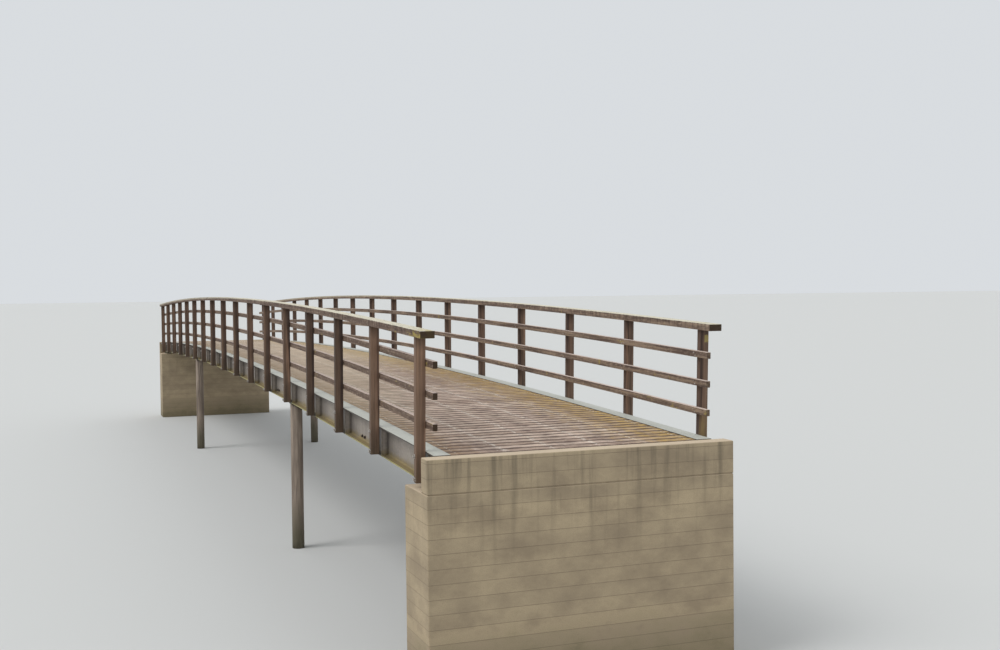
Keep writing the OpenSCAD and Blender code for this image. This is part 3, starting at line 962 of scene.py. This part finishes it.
def make_posts(node, side):
    """The posts of one side, square to the camber, their feet outside the girder."""
    posts, places = [], []
    upright = Matrix.Rotation(math.radians(90), 4, "Y")
    for i, s in enumerate(POST_STATIONS):
        bm = timber(POST_H + POST_FOOT, POST_W, POST_L, POST_CUTS)
        wander(bm, PLANED, POST_WAVE, seed=side * (i + 1) * POST_SEED)
        posts.append(to_mesh(bm, node))
        places.append(arc_place(s, side * (FRAME_HALF + POST_W / 2), (POST_H - POST_FOOT) / 2, upright))
    add_piece(node + "_wood", joined(node + "_wood", posts, places), POST_WOOD, "railing_timber", node)


def make_railing_fasteners():
    """Two bolts from each post's outer face into the girder, and screws through the rails into the posts."""
    bolt = hex_bolt(BOLT_ACROSS, BOLT_HEAD_H, POST_WASHER_R, WASHER_T)
    screw = screw_head(RAIL_SCREW_R, SCREW_HEAD_H)
    bolt_places, screw_places = [], []
    for side in SIDES.values():
        outward = Matrix.Rotation(math.radians(-90 * side), 4, "X")
        inward = Matrix.Rotation(math.radians(90 * side), 4, "X")
        for s in POST_STATIONS:
            for height in BOLT_HEIGHTS:
                slip = rng.uniform(-BOLT_SLIP, BOLT_SLIP)
                turn = outward @ Matrix.Rotation(rng.uniform(0, 1), 4, "Z")
                bolt_places.append(arc_place(s + slip, side * (FRAME_HALF + POST_W - PLANED), height - slip, turn))
            for level in RAIL_LEVELS.values():
                for off in (-RAIL_SCREW_OFFSET, RAIL_SCREW_OFFSET):
                    up = level - off * RAIL_SCREW_SLANT
                    screw_places.append(arc_place(s + off, side * (FRAME_HALF - RAIL_T + PLANED), up, inward))
    add_piece("post_bolts", joined("post_bolts", [bolt] * len(bolt_places), bolt_places), DULL_ZINC, "steel")
    add_piece("rail_screws", joined("rail_screws", [screw] * len(screw_places), screw_places), DULL_ZINC, "steel")


def make_girder_bolts():
    """Dark pairs of bolts low on the webs, and bolts through the lower flanges into the piles' head plates."""
    bolt = hex_bolt(BOLT_ACROSS, BOLT_HEAD_H, WEB_WASHER_R, WASHER_T)
    places = []
    for side in SIDES.values():
        outward = Matrix.Rotation(math.radians(-90 * side), 4, "X")
        for station in BRACE_STATIONS:
            for offset in (-BRACE_PITCH / 2, BRACE_PITCH / 2):
                places.append(arc_place(station + offset, side * WEB_OUT, BRACE_HEIGHT, outward))
        for pier in (NEAR_PIER, FAR_PIER):
            for along in (-HEAD_L / 3, HEAD_L / 3):
                for across in (-FLANGE_W / 3, FLANGE_W / 3):
                    places.append(arc_place(pier + along, side * GIRDER_Y + across, -GIRDER_D + FLANGE_T))
    add_piece("girder_bolts", joined("girder_bolts", [bolt] * len(places), places), RUSTED_ZINC, "steel")


def make_welds():
    """A rippled fillet weld down each side of each plate, where it meets the girder's web."""
    length = GIRDER_D - 2 * FLANGE_T - 2 * WELD_CLEAR
    bm = bmesh.new()
    bmesh.ops.create_cone(bm, cap_ends=True, segments=WELD_SIDES, radius1=WELD_R, radius2=WELD_R, depth=length)
    for i in range(1, WELD_CUTS):
        cut_across(bm, (0, 0, (i / WELD_CUTS - 0.5) * length), (0, 0, 1))
    for v in bm.verts:
        swell = 1 + WELD_SWELL * noise.noise(Vector((0, 0, v.co.z * WELD_RIPPLES)))
        v.co.x *= swell
        v.co.y *= swell
    bead = to_mesh(bm, "weld_bead")
    places = []
    for side in SIDES.values():
        for s in POST_STATIONS:
            for face in (-PLATE_T / 2, PLATE_T / 2):
                places.append(arc_place(s + PLATE_OFF + face, side * WEB_OUT, -GIRDER_D / 2))
    add_piece("plate_welds", joined("plate_welds", [bead] * len(places), places), STEEL, "steel")


# Piles, abutments and back walls


def make_pile(node):
    """A round pile a little out of true, its top sawn off to the slope of the girder's head plate."""
    low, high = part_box(node)
    centre = (low + high) / 2
    length = high.z - low.z
    bm = bmesh.new()
    bmesh.ops.create_cone(bm, cap_ends=True, segments=PILE_SIDES, radius1=PILE_R, radius2=PILE_R, depth=length)
    for i in range(1, PILE_CUTS):
        cut_across(bm, (0, 0, (i / PILE_CUTS - 0.5) * length), (0, 0, 1))
    for v in bm.verts:
        around = Vector([co * cells for co, cells in zip(v.co, PILE_CELLS)]) + centre
        shrink = 1 - PILE_UNEVEN * abs(noise.noise(around))
        v.co.x *= shrink
        v.co.y *= shrink
    bmesh.ops.translate(bm, vec=centre, verts=bm.verts)
    seat = arc_place(NEAR_PIER if centre.x > 0 else FAR_PIER, centre.y, -GIRDER_D - HEAD_T)
    cut_across(bm, seat.translation, seat.col[2].to_3d(), saw_off=True)
    mesh = to_mesh(bm, node + "_wood")
    mesh.shade_smooth()
    add_piece(node + "_wood", mesh, PILE_WOOD, "pile_timber", node)


def make_cast_block(node):
    """A concrete block with softened, slightly uneven edges."""
    low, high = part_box(node)
    bm = bmesh.new()
    bmesh.ops.create_cube(bm, size=1)
    bmesh.ops.scale(bm, vec=high - low, verts=bm.verts)
    ease_edges(bm, bm.edges[:], CAST_ROUNDING, 3)
    for i in range(1, CAST_CUTS):
        cut_across(bm, (0, (i / CAST_CUTS - 0.5) * (high - low).y, 0), (0, 1, 0))
    for v in bm.verts:
        chip = abs(noise.noise(v.co * CHIPS + high)) * CAST_CHIP
        v.co.x -= math.copysign(chip, v.co.x)
    bmesh.ops.translate(bm, vec=(low + high) / 2, verts=bm.verts)
    add_piece(node + "_cast", to_mesh(bm, node + "_cast"), CONCRETE, "concrete", node)


# All the pieces

boards = make_deck("deck_boards_near", "deck_near", NEAR_PIER + BUTT_GAP / 2, DECK_END)
boards += make_deck("deck_boards_mid", "deck_mid", FAR_PIER + BUTT_GAP / 2, NEAR_PIER - BUTT_GAP / 2)
boards += make_deck("deck_boards_far", "deck_far", -DECK_END, FAR_PIER - BUTT_GAP / 2)
make_deck_screws(boards)
make_bearers("bearers_near", [(NEAR_PIER + BUTT_GAP / 2, DECK_END)])
make_bearers("bearers_mid", [(FAR_PIER + BUTT_GAP / 2, -BUTT_GAP / 2), (BUTT_GAP / 2, NEAR_PIER - BUTT_GAP / 2)])
make_bearers("bearers_far", [(-DECK_END, FAR_PIER - BUTT_GAP / 2)])

for side_name, side in SIDES.items():
    make_posts("posts_" + side_name, side)
    make_rail("top_rail_" + side_name, side * (FRAME_HALF + POST_W / 2), CAP_W, POST_H, POST_H + CAP_T)
    for level_name, level in RAIL_LEVELS.items():
        middle = side * (FRAME_HALF - RAIL_T / 2)
        make_rail(level_name + "_rail_" + side_name, middle, RAIL_T, level - RAIL_H / 2, level + RAIL_H / 2)
make_railing_fasteners()
make_girder_bolts()
make_welds()

for name in ("pile_near_left", "pile_near_right", "pile_far_left", "pile_far_right"):
    make_pile(name)
for name in ("abutment_near", "abutment_far", "back_wall_near", "back_wall_far"):
    make_cast_block(name)

CARRIED_OVER = {
    "girder": STEEL,
    "cross_beams": STEEL,
    "post_plates": STEEL,
    "pile_heads": STEEL,
    "bearing_pads": PAD_RUBBER,
}
for name, obj in nodes.items():
    for start, finish in CARRIED_OVER.items():
        if name.startswith(start):
            for slot in obj.material_slots:
                slot.material = finish


# Stage, light and camera

FLOOR_HALF = 400
floor_bm = bmesh.new()
bmesh.ops.create_grid(floor_bm, x_segments=1, y_segments=1, size=FLOOR_HALF)
floor_mesh = to_mesh(floor_bm, "floor")
floor_obj = bpy.data.objects.new("floor", floor_mesh)
bpy.context.scene.collection.objects.link(floor_obj)
floor_material, _, floor_shader = new_material("plain_pale_floor")
floor_shader.inputs["Base Color"].default_value = linear("#d2d2cf")
floor_shader.inputs["Roughness"].default_value = 0.95
floor_mesh.materials.append(floor_material)

world = bpy.data.worlds.new("studio")
bpy.context.scene.world = world
world.use_nodes = True
world.node_tree.nodes["Background"].inputs["Color"].default_value = linear("#e9edf1")
world.node_tree.nodes["Background"].inputs["Strength"].default_value = 0.85

sun_data = bpy.data.lights.new("soft_sun", "SUN")
sun_data.energy = 1.3
sun_data.angle = math.radians(30)
sun = bpy.data.objects.new("soft_sun", sun_data)
sun.rotation_euler = (math.radians(38), math.radians(-12), math.radians(20))
bpy.context.scene.collection.objects.link(sun)

# Camera, fitted to the photograph: place, heading from the bridge's axis, tilt and roll
CAMERA_PLACE = Vector((HALF_SPAN + 9.62, -4.304, END_HEIGHT + 1.383))
CAMERA_YAW = math.radians(20.89)
CAMERA_PITCH = math.radians(-1.78)
CAMERA_ROLL = math.radians(-0.59)
FOCAL_PX = 1181.5
IMAGE_W = 1000

camera_data = bpy.data.cameras.new("camera")
camera_data.sensor_width = 36
camera_data.lens = camera_data.sensor_width * FOCAL_PX / IMAGE_W
camera_data.clip_end = 1000
camera = bpy.data.objects.new("camera", camera_data)
bpy.context.scene.collection.objects.link(camera)
ahead = Vector(
    (
        -math.cos(CAMERA_YAW) * math.cos(CAMERA_PITCH),
        math.sin(CAMERA_YAW) * math.cos(CAMERA_PITCH),
        math.sin(CAMERA_PITCH),
    )
)
level_right = Vector((math.sin(CAMERA_YAW), math.cos(CAMERA_YAW), 0))
level_up = level_right.cross(ahead)
camera_right = level_right * math.cos(CAMERA_ROLL) + level_up * math.sin(CAMERA_ROLL)
camera_up = level_up * math.cos(CAMERA_ROLL) - level_right * math.sin(CAMERA_ROLL)
camera_turn = Matrix((camera_right, camera_up, -ahead)).transposed().to_4x4()
camera.matrix_world = Matrix.Translation(CAMERA_PLACE) @ camera_turn
bpy.context.scene.camera = camera
bpy.context.scene.view_settings.view_transform = "Standard"
